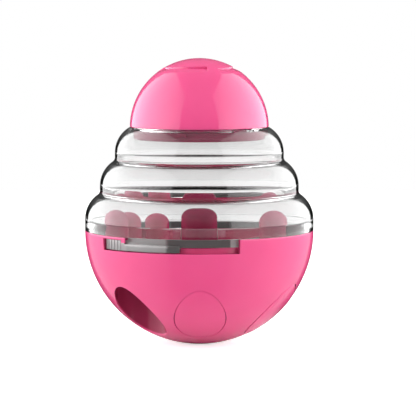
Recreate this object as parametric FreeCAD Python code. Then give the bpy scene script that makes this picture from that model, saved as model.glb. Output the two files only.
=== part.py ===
"""Roly-poly treat dispensing toy, in millimetres.

The main axis is Z and the toy stands on z = 0. Azimuths are in degrees about Z, counted from the
front (-Y) towards +X. The bowl is half a sphere whose centre lies in the plane of its rim.
"""

import FreeCAD, Part
import math
import os

os.makedirs("parts", exist_ok=True)

# Bowl
bowl_r = 50.0            # outer radius
bowl_wall = 2.4
foot_sag = 0.2           # height of the cap cut off the sphere to leave a flat to stand on

# Outlets: upright round shafts through the bowl
outlet_r = 11.2
outlet_land = 5.0        # from a shaft's far side to the bowl's greatest radius
chimney_wall = 1.6
open_outlets = [-48.3, 131.7]
closed_outlets = {"front": 0.5, "right": 65.0}

# Bayonet windows in the bowl's rim, one in front and one behind
window_depth = 6.0
window_from = -55.3      # end of the stretch that the rim bridges
window_open_from = -39.3
window_to = 20.2
rim_bridge_t = 1.0
nub_t = 0.65             # thickness of the detent nub that hangs from the bridge's end
nub_drop = 3.9
nub_span = 2.3           # degrees

# Clear shell: three stacked bulges of one arc
shell_wall = 1.5
skirt_h = 4.9            # straight height above the rim
bulge_arc_r = 13.0
bulge_step = 6.55        # how much narrower each bulge is than the one below
collar_h = 3.2           # straight height under the second and third bulges
crease_round = 2.2       # outside; inside it is larger by the wall, so the wall stays even
lip_wall = 0.8
lip_depth = 3.5          # how far the lip reaches down inside the rim
lip_step = 0.5           # the lip's inside step lies this far below the skirt's end
neck_ring_h = 2.0
neck_wall = 1.35         # from the neck's mouth to its outer edge

# Bayonet tabs of the shell
tab_to = -9.7            # azimuth of the tab's free end
tab_h = 3.0
tab_proud = 1.25         # how far the tab stands out from the lip
latch_to = -41.3         # azimuth where the tall latch block ends
ridge_r = 0.35
ridge_count = 5

# Cap
dome_wall = 2.2
dome_base_rise = 0.5     # the dome's edge above its centre
plug_drop = 5.6          # how far the plug reaches down into the neck
plug_wall = 1.6
plug_floor_t = 1.6
plug_spigot_h = 2.9      # the part of the plug inside the dome
plug_round = 1.0         # rounding of the plug's lower edge
grip_ring_r = 13.9       # three arc recesses on the crown
grip_w = 3.2
grip_depth = 0.9
grip_bridge = 18.0       # degrees between recesses
grip_bridge_at = 22.0
lug_count = 3
lug_span = 20.0
lug_at = -21.0
lug_h = 1.4
lug_proud = 1.5
cap_turn = 60.0          # from locked to the notches

# Tray
tray_drop = 11.8         # from the rim down to the tray's floor
tray_t = 1.8
tray_edge_drop = 0.8     # from the windows down to the tray's edge
tray_bend_r = 2.5
tray_hole_play = 0.2     # the tray's holes are this much wider in radius than the shafts
# Pegs: azimuth, distance in from the bowl's outside, own radius, height of the top above the rim
pegs = [(-93.1, 13.55, 5.2, 8.4), (-119.7, 13.7, 5.5, 6.6), (-148.8, 12.95, 5.5, 5.0), (99.8, 17.0, 6.2, 8.0)]
peg_wall = 1.6
arm_w = 5.0              # snap arms beside the centre post
arm_top_r = 11.5
arm_foot_r = 14.0
arm_rise = 9.9
arm_hook_z = 2.0

# Centre post
post_r = 7.9
post_top_above_rim = 9.96
post_round = 5.6
post_wall = 1.8
post_flange_r = 9.2
post_flange_t = 1.7
collar_proud = 0.4
collar_low = 7.9         # the collar's lower edge above the tray's floor
collar_band = 1.7

# Counterweight, its pad and its cover
pad_t = 0.8
pad_r = 10.0
weight_land = 1.85       # metal left between a hole and the weight's edge
weight_top_z = 13.5
cover_t = 1.6
cover_skirt_h = 2.5
cover_skirt_wall = 1.1
post_boss_r = 3.25       # tall bosses that carry the tray
cover_boss_r = 3.0       # short bosses that carry the cover
boss_count = 3
tray_boss_at = 60.0

# Screws: pan heads with self-tapping shanks
screw_r = 1.1
screw_head_r = 2.5
screw_head_t = 1.7
screw_l = 8.0            # under the head
pilot_spare = 1.0        # the pilot holes are this much deeper than the screws reach

# Stoppers
stopper_wall = 1.6
stopper_floor_t = 2.0
stopper_lip = 1.2        # how far the body stands above the tray's floor
stopper_rib_t = 1.6
ear_w = 6.0
ear_reach = 1.8          # beyond the tray's hole
fin_w = 15.0
fin_t = 2.6
fin_h = 8.0              # above the tray's floor
fin_round = 3.0
proud = {"front": 0.0, "right": 0.2}

# Clearances
seat_gap = 0.1           # between faces that turn on each other
run_gap = 0.3            # between curved faces that pass each other
still_gap = 0.25         # between pieces that don't move apart
thread_gap = 0.05
over = 1.0               # how far a cutting solid passes the face that it cuts

# Derived places
rim_z = bowl_r - foot_sag
bowl_in_r = bowl_r - bowl_wall
lip_out_r = bowl_in_r - run_gap
lip_in_r = lip_out_r - lip_wall
tab_out_r = lip_out_r + tab_proud
bulge_rise = math.sqrt(bulge_arc_r**2 - (bulge_arc_r - bulge_step)**2)
neck_top_z = rim_z + skirt_h + 3 * bulge_rise + 2 * collar_h
neck_r = bowl_r - 3 * bulge_step
neck_mouth_r = neck_r - neck_wall
dome_r = neck_r          # the dome carries on the line of the shell's top edge
dome_base_z = neck_top_z + seat_gap
dome_centre_z = dome_base_z - dome_base_rise
tray_floor_z = rim_z - tray_drop
tray_low_z = tray_floor_z - tray_t
tray_edge_z = rim_z - window_depth - tray_edge_drop
tray_hole_r = outlet_r + tray_hole_play
outlet_ring_r = bowl_r - outlet_land - outlet_r
cover_r = outlet_ring_r - outlet_r - chimney_wall - run_gap
weight_r = cover_r - cover_skirt_wall - still_gap
screw_ring_r = weight_r - weight_land - post_boss_r - still_gap
pegs_at = [(azimuth, bowl_r - inset, own_r, rim_z + rise) for azimuth, inset, own_r, rise in pegs]
boss_pitch = 360.0 / boss_count
tray_bosses = [tray_boss_at + i * boss_pitch for i in range(boss_count)]
cover_bosses = [azimuth + boss_pitch / 2 for azimuth in tray_bosses]
all_outlets = open_outlets + list(closed_outlets.values())
# Angle that leaves the sideways gap of run_gap at the bowl's radius
gap_deg = math.degrees(run_gap / bowl_in_r)


def at(azimuth, radius, z=0.0):
    """Point at an azimuth and a distance from the main axis."""
    turn = math.radians(azimuth)
    return FreeCAD.Vector(radius * math.sin(turn), -radius * math.cos(turn), z)


def on_ball(radius, z, centre_z=rim_z):
    """Profile point (r, z) of a sphere centred on the main axis."""
    return (math.sqrt(max(radius**2 - (z - centre_z)**2, 0.0)), z)


def arc_to(centre, start, end):
    """Profile step: the short arc about a centre from start to end, as (middle, end)."""
    radius = math.dist(centre, start)
    middle = [(s + e) / 2 - c for s, e, c in zip(start, end, centre)]
    scale = radius / math.hypot(*middle)
    return ((centre[0] + middle[0] * scale, centre[1] + middle[1] * scale), end)


def turned(start, *steps, angle=360.0):
    """Solid turned about Z from a closed profile in (r, z). A step is a point, or (middle, end) of an arc."""
    def point(p):
        return FreeCAD.Vector(p[0], 0, p[1])

    edges = []
    here = start
    for step in list(steps) + [start]:
        if isinstance(step[0], tuple):
            middle, end = step
            edges.append(Part.Arc(point(here), point(middle), point(end)).toShape())
        else:
            end = step
            if math.dist(here, end) > 1e-6:
                edges.append(Part.makeLine(point(here), point(end)))
        here = end
    face = Part.Face(Part.Wire(edges))
    return face.revolve(FreeCAD.Vector(0, 0, 0), FreeCAD.Vector(0, 0, 1), angle)


def turn(shape, azimuth):
    """Copy of a shape turned about Z."""
    copy = shape.copy()
    copy.rotate(FreeCAD.Vector(0, 0, 0), FreeCAD.Vector(0, 0, 1), azimuth)
    return copy


def sector(r_in, r_out, z_low, z_high, azimuth_from, azimuth_to):
    """Stretch of a square-edged ring between two azimuths."""
    span = azimuth_to - azimuth_from
    solid = turned((r_in, z_low), (r_out, z_low), (r_out, z_high), (r_in, z_high), angle=span)
    return turn(solid, azimuth_from - 90)


def post(azimuth, ring_r, radius, z_low, z_high):
    """Upright cylinder at an azimuth."""
    return Part.makeCylinder(radius, z_high - z_low, at(azimuth, ring_r, z_low))


def ball(radius, centre_z=rim_z):
    return Part.makeSphere(radius, FreeCAD.Vector(0, 0, centre_z))


def edges_at(shape, radius, z):
    """Circular edges about the main axis with a radius, at a height."""
    found = []
    for edge in shape.Edges:
        if isinstance(edge.Curve, Part.Circle) and abs(edge.Curve.Radius - radius) < 0.01:
            if abs(edge.Curve.Center.z - z) < 0.01:
                found.append(edge)
    return found


def joined(first, *others):
    return first.fuse(list(others)).removeSplitter()


def cut(first, *others):
    return first.cut(list(others))


def save(name, shape):
    shape.exportStep("parts/" + name + ".step")


def make_bowl():
    foot = on_ball(bowl_r, 0.0)
    body = turned(
        (0.0, 0.0), foot, arc_to((0, rim_z), foot, (bowl_r, rim_z)), (bowl_in_r, rim_z),
        arc_to((0, rim_z), (bowl_in_r, rim_z), (0.0, rim_z - bowl_in_r)),
    )
    inside = ball(bowl_r - bowl_wall / 2)
    chimneys = [post(a, outlet_ring_r, outlet_r + chimney_wall, 0, tray_low_z) for a in all_outlets]
    bosses = [post(a, screw_ring_r, post_boss_r, 0, tray_low_z) for a in tray_bosses]
    bosses += [post(a, screw_ring_r, cover_boss_r, 0, weight_top_z) for a in cover_bosses]
    body = joined(body, *[solid.common(inside) for solid in chimneys + bosses])
    shafts = [post(a, outlet_ring_r, outlet_r, -over, rim_z) for a in all_outlets]
    pilots = []
    for azimuths, seat_z, grip_t in ((tray_bosses, tray_low_z, tray_t), (cover_bosses, weight_top_z, cover_t)):
        low = seat_z + grip_t - screw_l - pilot_spare
        pilots += [post(a, screw_ring_r, screw_r + thread_gap, low, seat_z + over) for a in azimuths]
    windows = []
    nubs = []
    for side in (0, 180):
        low = rim_z - window_depth
        windows.append(sector(bowl_in_r - over, bowl_r + over, low, rim_z - rim_bridge_t,
                              window_from + side, window_open_from + side))
        windows.append(sector(bowl_in_r - over, bowl_r + over, low, rim_z + over,
                              window_open_from + side, window_to + side))
        nub_from = window_open_from - nub_span
        nub_in_r = on_ball(bowl_r, rim_z - nub_drop)[0] - nub_t
        nub = sector(nub_in_r, bowl_r + over, rim_z - nub_drop, rim_z - rim_bridge_t / 2,
                     nub_from + side, window_open_from + side)
        nubs.append(nub.common(ball(bowl_r)))
    body = cut(body, *shafts, *pilots, *windows)
    return joined(body, *nubs)


def make_shell():
    """Three-bulge clear body, with the lip and the bayonet tabs that lock into the bowl."""
    low_z = rim_z + seat_gap
    start = (bowl_r, low_z)
    outer = []
    inner = []
    creases = []
    bottom_z = rim_z
    for i in range(3):
        radius = bowl_r - i * bulge_step
        centre = (radius - bulge_arc_r, bottom_z + (skirt_h if i == 0 else collar_h))
        waist = (radius, centre[1])
        top = (radius - bulge_step, centre[1] + bulge_rise)
        outer += [waist, arc_to(centre, waist, top)]
        inner_arc_r = bulge_arc_r - shell_wall
        inner_waist = (radius - shell_wall, centre[1])
        if i < 2:
            end_r = radius - bulge_step - shell_wall
            end_z = centre[1] + math.sqrt(inner_arc_r**2 - (end_r - centre[0])**2)
            creases.append((radius - bulge_step, top[1], crease_round))
            creases.append((end_r, end_z, crease_round + shell_wall))
        else:
            end_z = neck_top_z - neck_ring_h
            end_r = centre[0] + math.sqrt(inner_arc_r**2 - (end_z - centre[1])**2)
        inner = [(end_r, end_z), arc_to(centre, (end_r, end_z), inner_waist)] + inner
        bottom_z = top[1]
    step_z = rim_z + skirt_h - lip_step
    lip_low_z = rim_z - lip_depth
    body = turned(
        start, *outer, (neck_mouth_r, neck_top_z), (neck_mouth_r, neck_top_z - neck_ring_h), *inner,
        (bowl_r - shell_wall, step_z), (lip_in_r, step_z), (lip_in_r, lip_low_z), (lip_out_r, lip_low_z),
        (lip_out_r, low_z),
    )
    for crease_r, crease_z, rounding in creases:
        body = body.makeFillet(rounding, edges_at(body, crease_r, crease_z))

    added = []
    for side in (0, 180):
        low = rim_z - window_depth + run_gap
        tab_from = window_from + gap_deg + side
        added.append(sector(lip_in_r, tab_out_r, low, low + tab_h, tab_from, tab_to + side))
        block_high = rim_z - rim_bridge_t - run_gap
        added.append(sector(lip_in_r, tab_out_r, low, block_high, tab_from, latch_to + side))
        pitch = (latch_to + side - tab_from) / (ridge_count + 1)
        for i in range(ridge_count):
            added.append(post(tab_from + (i + 1) * pitch, tab_out_r, ridge_r, low + ridge_r, block_high - ridge_r))
    body = joined(body, *added)
    notches = []
    for i in range(lug_count):
        middle = lug_at + cap_turn + i * 360.0 / lug_count
        half = lug_span / 2 + 2 * gap_deg
        notches.append(sector(neck_mouth_r - over, neck_mouth_r + lug_proud,
                              neck_top_z - neck_ring_h - over, neck_top_z - neck_wall / 2,
                              middle - half, middle + half))
    return cut(body, *notches)


def make_dome():
    centre = (0, dome_centre_z)
    edge = on_ball(dome_r, dome_base_z, dome_centre_z)
    top = (0.0, dome_centre_z + dome_r)
    inner_top = (0.0, dome_centre_z + dome_r - dome_wall)
    inner_edge = on_ball(dome_r - dome_wall, dome_base_z, dome_centre_z)
    dome = turned(edge, arc_to(centre, edge, top), inner_top, arc_to(centre, inner_top, inner_edge))
    r_in = grip_ring_r - grip_w / 2
    r_out = grip_ring_r + grip_w / 2
    floor = ball(dome_r - grip_depth, dome_centre_z)
    pitch = 360.0 / lug_count
    grips = []
    for i in range(lug_count):
        first = grip_bridge_at + grip_bridge / 2 + i * pitch
        ring = sector(r_in, r_out, dome_centre_z, dome_centre_z + dome_r, first, first + pitch - grip_bridge)
        grips.append(ring.cut(floor))
    return cut(dome, *grips)


def make_plug():
    """Hollow plug under the dome. Its lugs turn under the ring in the shell's neck."""
    out_r = neck_mouth_r - run_gap
    spigot_r = on_ball(dome_r - dome_wall, dome_base_z + plug_spigot_h, dome_centre_z)[0] - run_gap
    low = dome_base_z - plug_drop
    high = dome_base_z + plug_spigot_h
    in_r = spigot_r - plug_wall
    foot = (out_r - plug_round, low)
    side = (out_r, low + plug_round)
    body = turned(
        (0.0, low), foot, arc_to((foot[0], side[1]), foot, side),
        (out_r, dome_base_z), (spigot_r, dome_base_z), (spigot_r, high), (in_r, high),
        (in_r, low + plug_floor_t), (0.0, low + plug_floor_t),
    )
    lug_high = neck_top_z - neck_ring_h - seat_gap
    lugs = []
    for i in range(lug_count):
        middle = lug_at + i * 360.0 / lug_count
        lugs.append(sector(out_r - plug_wall, out_r + lug_proud, lug_high - lug_h, lug_high,
                           middle - lug_span / 2, middle + lug_span / 2))
    return joined(body, *lugs)


def make_tray():
    fit_r = bowl_in_r - still_gap
    in_r = fit_r - tray_t
    centre = (0, rim_z)
    rim_in = on_ball(in_r, tray_edge_z)
    rim_out = on_ball(fit_r, tray_edge_z)
    low_out = on_ball(fit_r, tray_low_z)
    bend = on_ball(in_r, tray_floor_z + tray_bend_r / 2)
    body = turned(
        (0.0, tray_floor_z), (bend[0] - tray_bend_r, tray_floor_z), bend,
        arc_to(centre, bend, rim_in), rim_out, arc_to(centre, rim_out, low_out), (0.0, tray_low_z),
    )
    shells = []
    hollows = []
    for azimuth, ring_r, radius, top in pegs_at:
        shells.append(make_peg(azimuth, ring_r, radius, tray_floor_z - tray_t / 2, top))
        hollows.append(make_peg(azimuth, ring_r, radius - peg_wall, tray_low_z - over, top - peg_wall))
    arms = [make_arm(azimuth) for azimuth in (-90, 90)]
    body = joined(body, *shells, *arms)
    holes = [post(a, outlet_ring_r, tray_hole_r, tray_low_z - over, tray_edge_z + over) for a in all_outlets]
    holes += [
        post(a, screw_ring_r, screw_r + run_gap, tray_low_z - over, tray_floor_z + over)
        for a in tray_bosses
    ]
    return cut(body, *holes, *hollows)


def make_peg(azimuth, ring_r, radius, low, high):
    """Upright bullet shape."""
    shoulder = (radius, high - radius)
    solid = turned((0.0, low), (radius, low), shoulder, arc_to((0, high - radius), shoulder, (0.0, high)))
    solid.translate(at(azimuth, ring_r))
    return solid


def make_arm(azimuth):
    """Snap arm on the tray: a gusset with a hook over the centre post's flange."""
    hook_r = post_r + collar_proud + run_gap
    root_r = post_flange_r + run_gap
    z = tray_floor_z
    outline = [
        (root_r, z - tray_t / 2), (arm_foot_r, z - tray_t / 2), (arm_foot_r, z), (arm_top_r, z + arm_rise / 2),
        (arm_top_r, z + arm_rise), (hook_r, z + arm_rise), (hook_r, z + arm_hook_z), (root_r, z + arm_hook_z),
    ]
    points = [FreeCAD.Vector(r, -arm_w / 2, h) for r, h in outline]
    face = Part.Face(Part.makePolygon(points + points[:1]))
    return turn(face.extrude(FreeCAD.Vector(0, arm_w, 0)), azimuth - 90)


def make_post():
    top = rim_z + post_top_above_rim
    low = tray_floor_z
    collar_r = post_r + collar_proud
    flat_r = post_r - post_round
    shoulder = (post_r, top - post_round)
    body = turned(
        (0.0, low), (post_flange_r, low), (post_flange_r, low + post_flange_t), (post_r, low + post_flange_t),
        (post_r, low + collar_low), (collar_r, low + collar_low), (collar_r, low + collar_low + collar_band),
        (post_r, low + collar_low + collar_band), shoulder,
        arc_to((flat_r, top - post_round), shoulder, (flat_r, top)), (0.0, top),
    )
    in_r = post_r - post_wall
    in_round = post_round - post_wall
    in_shoulder = (in_r, top - post_round)
    hollow = turned(
        (0.0, low - over), (in_r, low - over), in_shoulder,
        arc_to((flat_r, top - post_round), in_shoulder, (flat_r, top - post_round + in_round)),
        (0.0, top - post_wall),
    )
    return cut(body, hollow)


def make_pad():
    top_r = bowl_in_r - pad_t
    low_edge = on_ball(bowl_in_r, rim_z - math.sqrt(bowl_in_r**2 - pad_r**2))
    high_edge = on_ball(top_r, rim_z - math.sqrt(top_r**2 - pad_r**2))
    centre = (0, rim_z)
    low_pole = (0.0, rim_z - bowl_in_r)
    high_pole = (0.0, rim_z - top_r)
    return turned(low_pole, arc_to(centre, low_pole, low_edge), high_edge, arc_to(centre, high_edge, high_pole))


def make_weight():
    radius = bowl_in_r - pad_t
    centre = (0, rim_z)
    pole = (0.0, rim_z - radius)
    edge = (weight_r, rim_z - math.sqrt(radius**2 - weight_r**2))
    body = turned(pole, arc_to(centre, pole, edge), (weight_r, weight_top_z), (0.0, weight_top_z))
    holes = [post(a, screw_ring_r, post_boss_r + still_gap, 0, rim_z) for a in tray_bosses]
    holes += [post(a, screw_ring_r, cover_boss_r + still_gap, 0, rim_z) for a in cover_bosses]
    return cut(body, *holes)


def make_cover():
    in_r = weight_r + still_gap
    high = weight_top_z + cover_t
    low = weight_top_z - cover_skirt_h
    body = turned((0.0, high), (cover_r, high), (cover_r, low), (in_r, low), (in_r, weight_top_z),
                  (0.0, weight_top_z))
    holes = [post(a, screw_ring_r, post_boss_r + still_gap, 0, rim_z) for a in tray_bosses]
    holes += [post(a, screw_ring_r, screw_r + run_gap, 0, rim_z) for a in cover_bosses]
    return cut(body, *holes)


def make_screws(azimuths, seat_z):
    """Group of equal screws with their heads on one plane."""
    shank = Part.makeCylinder(screw_r, screw_l, FreeCAD.Vector(0, 0, seat_z - screw_l))
    head = Part.makeCylinder(screw_head_r, screw_head_t, FreeCAD.Vector(0, 0, seat_z))
    head = head.makeFillet(screw_head_t / 2, edges_at(head, screw_head_r, seat_z + screw_head_t))
    slot = Part.makeBox(2 * screw_head_r, screw_r / 2, screw_head_t)
    slot.translate(FreeCAD.Vector(-screw_head_r, -screw_r / 4, seat_z + screw_head_t / 2))
    screw = cut(joined(shank, head), slot, turn(slot, 90))
    copies = []
    for azimuth in azimuths:
        copy = screw.copy()
        copy.translate(at(azimuth, screw_ring_r))
        copies.append(copy)
    return Part.makeCompound(copies)


def make_stopper(azimuth, stand_out):
    """Plug whose lower end is a piece of the bowl's sphere. Its ears rest on the tray."""
    radius = outlet_r - run_gap
    top = tray_floor_z + stopper_lip
    x = outlet_ring_r

    def upright(r, low, high):
        return Part.makeCylinder(r, high - low, FreeCAD.Vector(x, 0, low))

    def block(length, width, low, high):
        solid = Part.makeBox(length, width, high - low)
        solid.translate(FreeCAD.Vector(x - length / 2, -width / 2, low))
        return solid

    body = upright(radius, -over, top)
    above_floor = ball(bowl_r - stopper_floor_t).fuse(upright(radius, rim_z - bowl_r / 2, top + over))
    body = body.cut(upright(radius - stopper_wall, -over, top + over).common(above_floor))
    span = 2 * (radius - stopper_wall / 2)
    ribs = [block(span, stopper_rib_t, 0, top), block(stopper_rib_t, span, 0, top)]
    ears = block(ear_w, 2 * (tray_hole_r + ear_reach), tray_floor_z, top)
    ears = ears.cut(upright(radius - stopper_wall / 2, tray_floor_z - over, top + over))
    fin = block(fin_t, fin_w, tray_floor_z - fin_h, tray_floor_z + fin_h)
    corners = [e for e in fin.Edges if abs(e.CenterOfMass.z - fin.BoundBox.ZMax) < 1e-6 and
               e.BoundBox.XLength > fin_t / 2 and e.BoundBox.YLength < 1e-3]
    fin = fin.makeFillet(fin_round, corners)
    body = joined(body, *ribs, ears, fin)
    lower = body.common(ball(bowl_r + stand_out))
    return turn(lower, azimuth - 90)


save("bowl", make_bowl())
save("clear_shell", make_shell())
save("cap_dome", make_dome())
save("cap_plug", make_plug())
save("treat_tray", make_tray())
save("centre_post", make_post())
save("weight_pad", make_pad())
save("counterweight", make_weight())
save("weight_cover", make_cover())
save("cover_screws", make_screws(cover_bosses, weight_top_z + cover_t))
save("tray_screws", make_screws(tray_bosses, tray_floor_z))
for side_name, outlet_azimuth in closed_outlets.items():
    save("stopper_" + side_name, make_stopper(outlet_azimuth, proud[side_name]))
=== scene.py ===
"""Looks of a roly-poly treat dispensing toy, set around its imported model.

Lengths in the shapes are millimetres until a mesh is made. Azimuths are degrees about Z, counted
from the front (-Y) towards +X. A profile point is (distance from the axis, height, rounding of
that corner).
"""

import math

import bmesh
import bpy
import numpy as np
from mathutils import Matrix, Vector


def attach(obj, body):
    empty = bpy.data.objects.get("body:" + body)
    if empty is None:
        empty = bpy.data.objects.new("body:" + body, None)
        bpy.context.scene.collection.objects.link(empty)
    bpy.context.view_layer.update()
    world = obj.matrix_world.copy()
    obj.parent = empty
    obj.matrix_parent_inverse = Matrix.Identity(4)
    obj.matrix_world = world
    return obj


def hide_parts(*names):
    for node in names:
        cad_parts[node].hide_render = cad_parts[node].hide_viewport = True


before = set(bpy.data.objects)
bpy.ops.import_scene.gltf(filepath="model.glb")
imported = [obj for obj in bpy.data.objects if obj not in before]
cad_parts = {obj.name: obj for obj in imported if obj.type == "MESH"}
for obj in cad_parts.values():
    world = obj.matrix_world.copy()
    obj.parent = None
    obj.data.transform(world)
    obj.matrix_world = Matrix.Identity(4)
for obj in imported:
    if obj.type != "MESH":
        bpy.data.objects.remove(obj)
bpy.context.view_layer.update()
MM = 0.001
BOTH_SIDES = (0, 180)     # azimuths by which the bayonet repeats
CUT_OVER = 1              # how far a cutting shape passes the face that it cuts
FACE_GAP = 0.001          # keeps the faces of two cuts out of one plane
SEAM = 0.01               # how far a tab or lug still stands out where it has ended
SHARP_FROM = 35.0         # degrees between two faces from which their edge stays sharp

# Bowl
BOWL_R = 50.0
BOWL_IN_R = 47.6
RIM_Z = 49.8              # the bowl's spheres have their centre at this height
RIM_ROUND = 0.25
OUTLET_R = 11.2
OUTLET_RING_R = 33.8
CHIMNEY_R = 12.8
OPEN_OUTLETS = (-48.3, 131.7)
CLOSED_OUTLETS = {"front": (0.5, 0.0), "right": (65.0, 0.2)}  # azimuth, how far the plug is proud
ALL_OUTLETS = OPEN_OUTLETS + tuple(azimuth for azimuth, _ in CLOSED_OUTLETS.values())
PILLAR_BALL_R = BOWL_R - 1.2  # chimneys, posts and ribs end on this sphere, inside the wall
WINDOW_Z = 43.8
WINDOW_SPAN = (-55.3, -39.3, 20.2)  # azimuths where its bridged and its open part start, and end
WINDOW_LAP = 0.5          # degrees that the cut under the bridge reaches into the open stretch
BRIDGE_Z = 48.8
NUB_H = 2.2               # from the rim to the nub's lower end
NUB_ROOT = 0.5            # from the rim to its upper end, inside the bridge
NUB_T = 0.65
NUB_SPAN = (2.3, 0.05)    # degrees before the open stretch
TRAY_LOW_Z = 36.2
WEIGHT_TOP_Z = 13.5
SCREW_RING_R = 14.0
TRAY_SCREWS = (60, 180, 300)
TRAY_BOSS_R = 3.25
COVER_SCREWS = (120, 240, 360)
COVER_BOSS_R = 3.0

# Shell
SHELL_LOW_Z = 49.9
SHELL_WALL = 1.5
ARC_R = 13.0
ARC_STEP = 6.55
ARC_RISE = math.sqrt(ARC_R**2 - (ARC_R - ARC_STEP) ** 2)
COLLAR_H = 3.2
WAISTS = [(BOWL_R - i * ARC_STEP, 54.7 + i * (ARC_RISE + COLLAR_H)) for i in range(3)]
CREASE_R = 2.2
RIDGE_T = (2.7, 2.1)      # wall at the ridge inside each crease
RIDGE_ROUND = 1.2
PARALLEL_TO = 54.0        # degrees up to which the inner arc runs parallel to the outer one
CEILING_SHARE = 0.86      # share of its height that the flattened arc keeps at the ridge
NECK_Z = WAISTS[2][1] + ARC_RISE
MOUTH_R = 29.0
RING_Z = NECK_Z - 2.0
RING_W = 1.5
LIP_R = (46.5, 47.3)
LIP_LOW_Z = 46.3
STEP_Z = 54.2
TAB_R = 48.55
TAB_Z = (44.1, 47.1, 48.5)  # lower edge, top of the tab, top of its latch block
TAB_SPAN = (-54.94, -41.3, -9.7)  # azimuths of the block's free end, its other end, the tab's end
LATCH_RIB_R = 0.35
LATCH_RIBS = 5
NOTCHES = (39, 159, 279)
NOTCH_HALF = 10.72        # degrees
NOTCH_DEPTH = 1.326

# Cap
DOME_R = 30.35
DOME_CENTRE_Z = NECK_Z - 0.4
DOME_BASE_Z = NECK_Z + 0.1
DOME_WALL = 2.2
DOME_IN_LOW = 1.02        # degrees up at which the dome's inner side ends
GRIPS = (82, 202, 322)
GRIP_SPAN = 102           # degrees
GRIP_R = (15.5, 14.0)     # where a grip's wall starts and ends
GRIP_W = 3.2
GRIP_DEPTH = (0.5, 1.0)
GRIP_RUN = (0.3, 0.4)     # over what width a grip's wall falls, and its ends
PLUG_R = 28.7
PLUG_LOW_Z = DOME_BASE_Z - 5.6
PLUG_ROUND = 1.7
PLUG_WALL = 1.6
SPIGOT_R = 27.64
SPIGOT_Z = DOME_BASE_Z + 2.9
LUGS = (-21, 99, 219)
LUG_HALF = 10             # degrees
LUG_SOFT = 0.6            # degrees over which a lug's end rises
LUG_OUT = 1.5
LUG_Z = PLUG_LOW_Z + 2.0
LUG_H = 1.4

# Tray, with its pegs and snap arms
FLOOR_Z = 38.0
TRAY_T = 1.8
TRAY_BEND = (2.5, 1.25)   # how far in and how far up the bend round the floor reaches
TRAY_EDGE_Z = 43.0
TRAY_RIM_Z = 46.0
TRAY_RIM_R = (45.35, 46.15)
TRAY_R = 47.35
TRAY_HOLE_R = 11.4
SCREW_HOLE_R = 1.4
PEG_WALL = 1.6
PEGS = (                  # azimuth, distance from the axis, radius, top
    (-93.1, 36.45, 5.2, 58.9),
    (-119.7, 36.3, 5.5, 57.1),
    (-148.8, 37.05, 5.5, 55.9),
    (99.8, 33.0, 6.2, 58.5),
)
ARM_OUTLINE = (           # distance from the axis, height
    (9.5, 37.2), (14, 37.2), (14, 38), (11.5, 43), (11.5, 47.9), (8.6, 47.9), (8.6, 40), (9.5, 40),
)
ARM_HALF_W = 2.5

# Centre post
POST_R = 7.9
POST_IN_R = 6.1
POST_TOP_Z = 60.8
POST_ROUND = 5.6
POST_WALL = 1.8
COLLAR_R = 8.3
COLLAR_Z = (45.9, 47.6)
FLANGE_R = 9.2
FLANGE_Z = 39.7

# Plugs of the closed outlets
STOPPER_R = 10.9
STOPPER_WALL = 1.6
STOPPER_FLOOR_R = BOWL_R - 2.0  # their floor's upper side lies on this sphere
STOPPER_TOP_Z = FLOOR_Z + 1.2
STOPPER_ROUND = 0.25
FIN_HALF_W = 7.5
FIN_HALF_T = 1.3
FIN_Z = (30, 46)
FIN_ROUND = 3
EAR_R = (30.8, 36.8)      # distances from the bowl's axis
EAR_REACH = 13.2
RIB_HALF_T = 0.8
RIB_INTO = 0.4            # how far ribs and ears run into the cup's wall
RIB_BELOW = 0.02          # how far the ribs end below its top


# Shapes


def arc(centre, radius, start, end, steps):
    """Profile points along an arc between two angles a, in degrees up from the outward direction:
    centre + radius (cos a, sin a)."""
    angles = np.radians(np.linspace(start, end, steps + 1))
    return [
        (centre[0] + radius * math.cos(a), centre[1] + radius * math.sin(a), 0.0) for a in angles
    ]


def azimuths(step, marks=(), soft=0.3, extra=()):
    """Azimuths all round at a step, with five more across each mark and any extra ones."""
    near = np.add.outer(np.asarray(marks, float), soft * np.linspace(-0.5, 0.5, 5)).ravel()
    parts = [np.arange(0, 360, step), near % 360, np.asarray(extra, float) % 360]
    return np.unique(np.round(np.concatenate(parts), 4))


def within(azimuth, first, last, soft=0.3):
    """1 between two azimuths and 0 outside them, with a ramp soft degrees wide at each end:
    3 t^2 - 2 t^3, t being the way up the ramp."""
    middle = (first + last) / 2
    outside = np.abs((azimuth - middle + 180) % 360 - 180) - (last - first) / 2
    t = np.clip(0.5 - outside / soft, 0, 1)
    return t * t * (3 - 2 * t)


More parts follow.
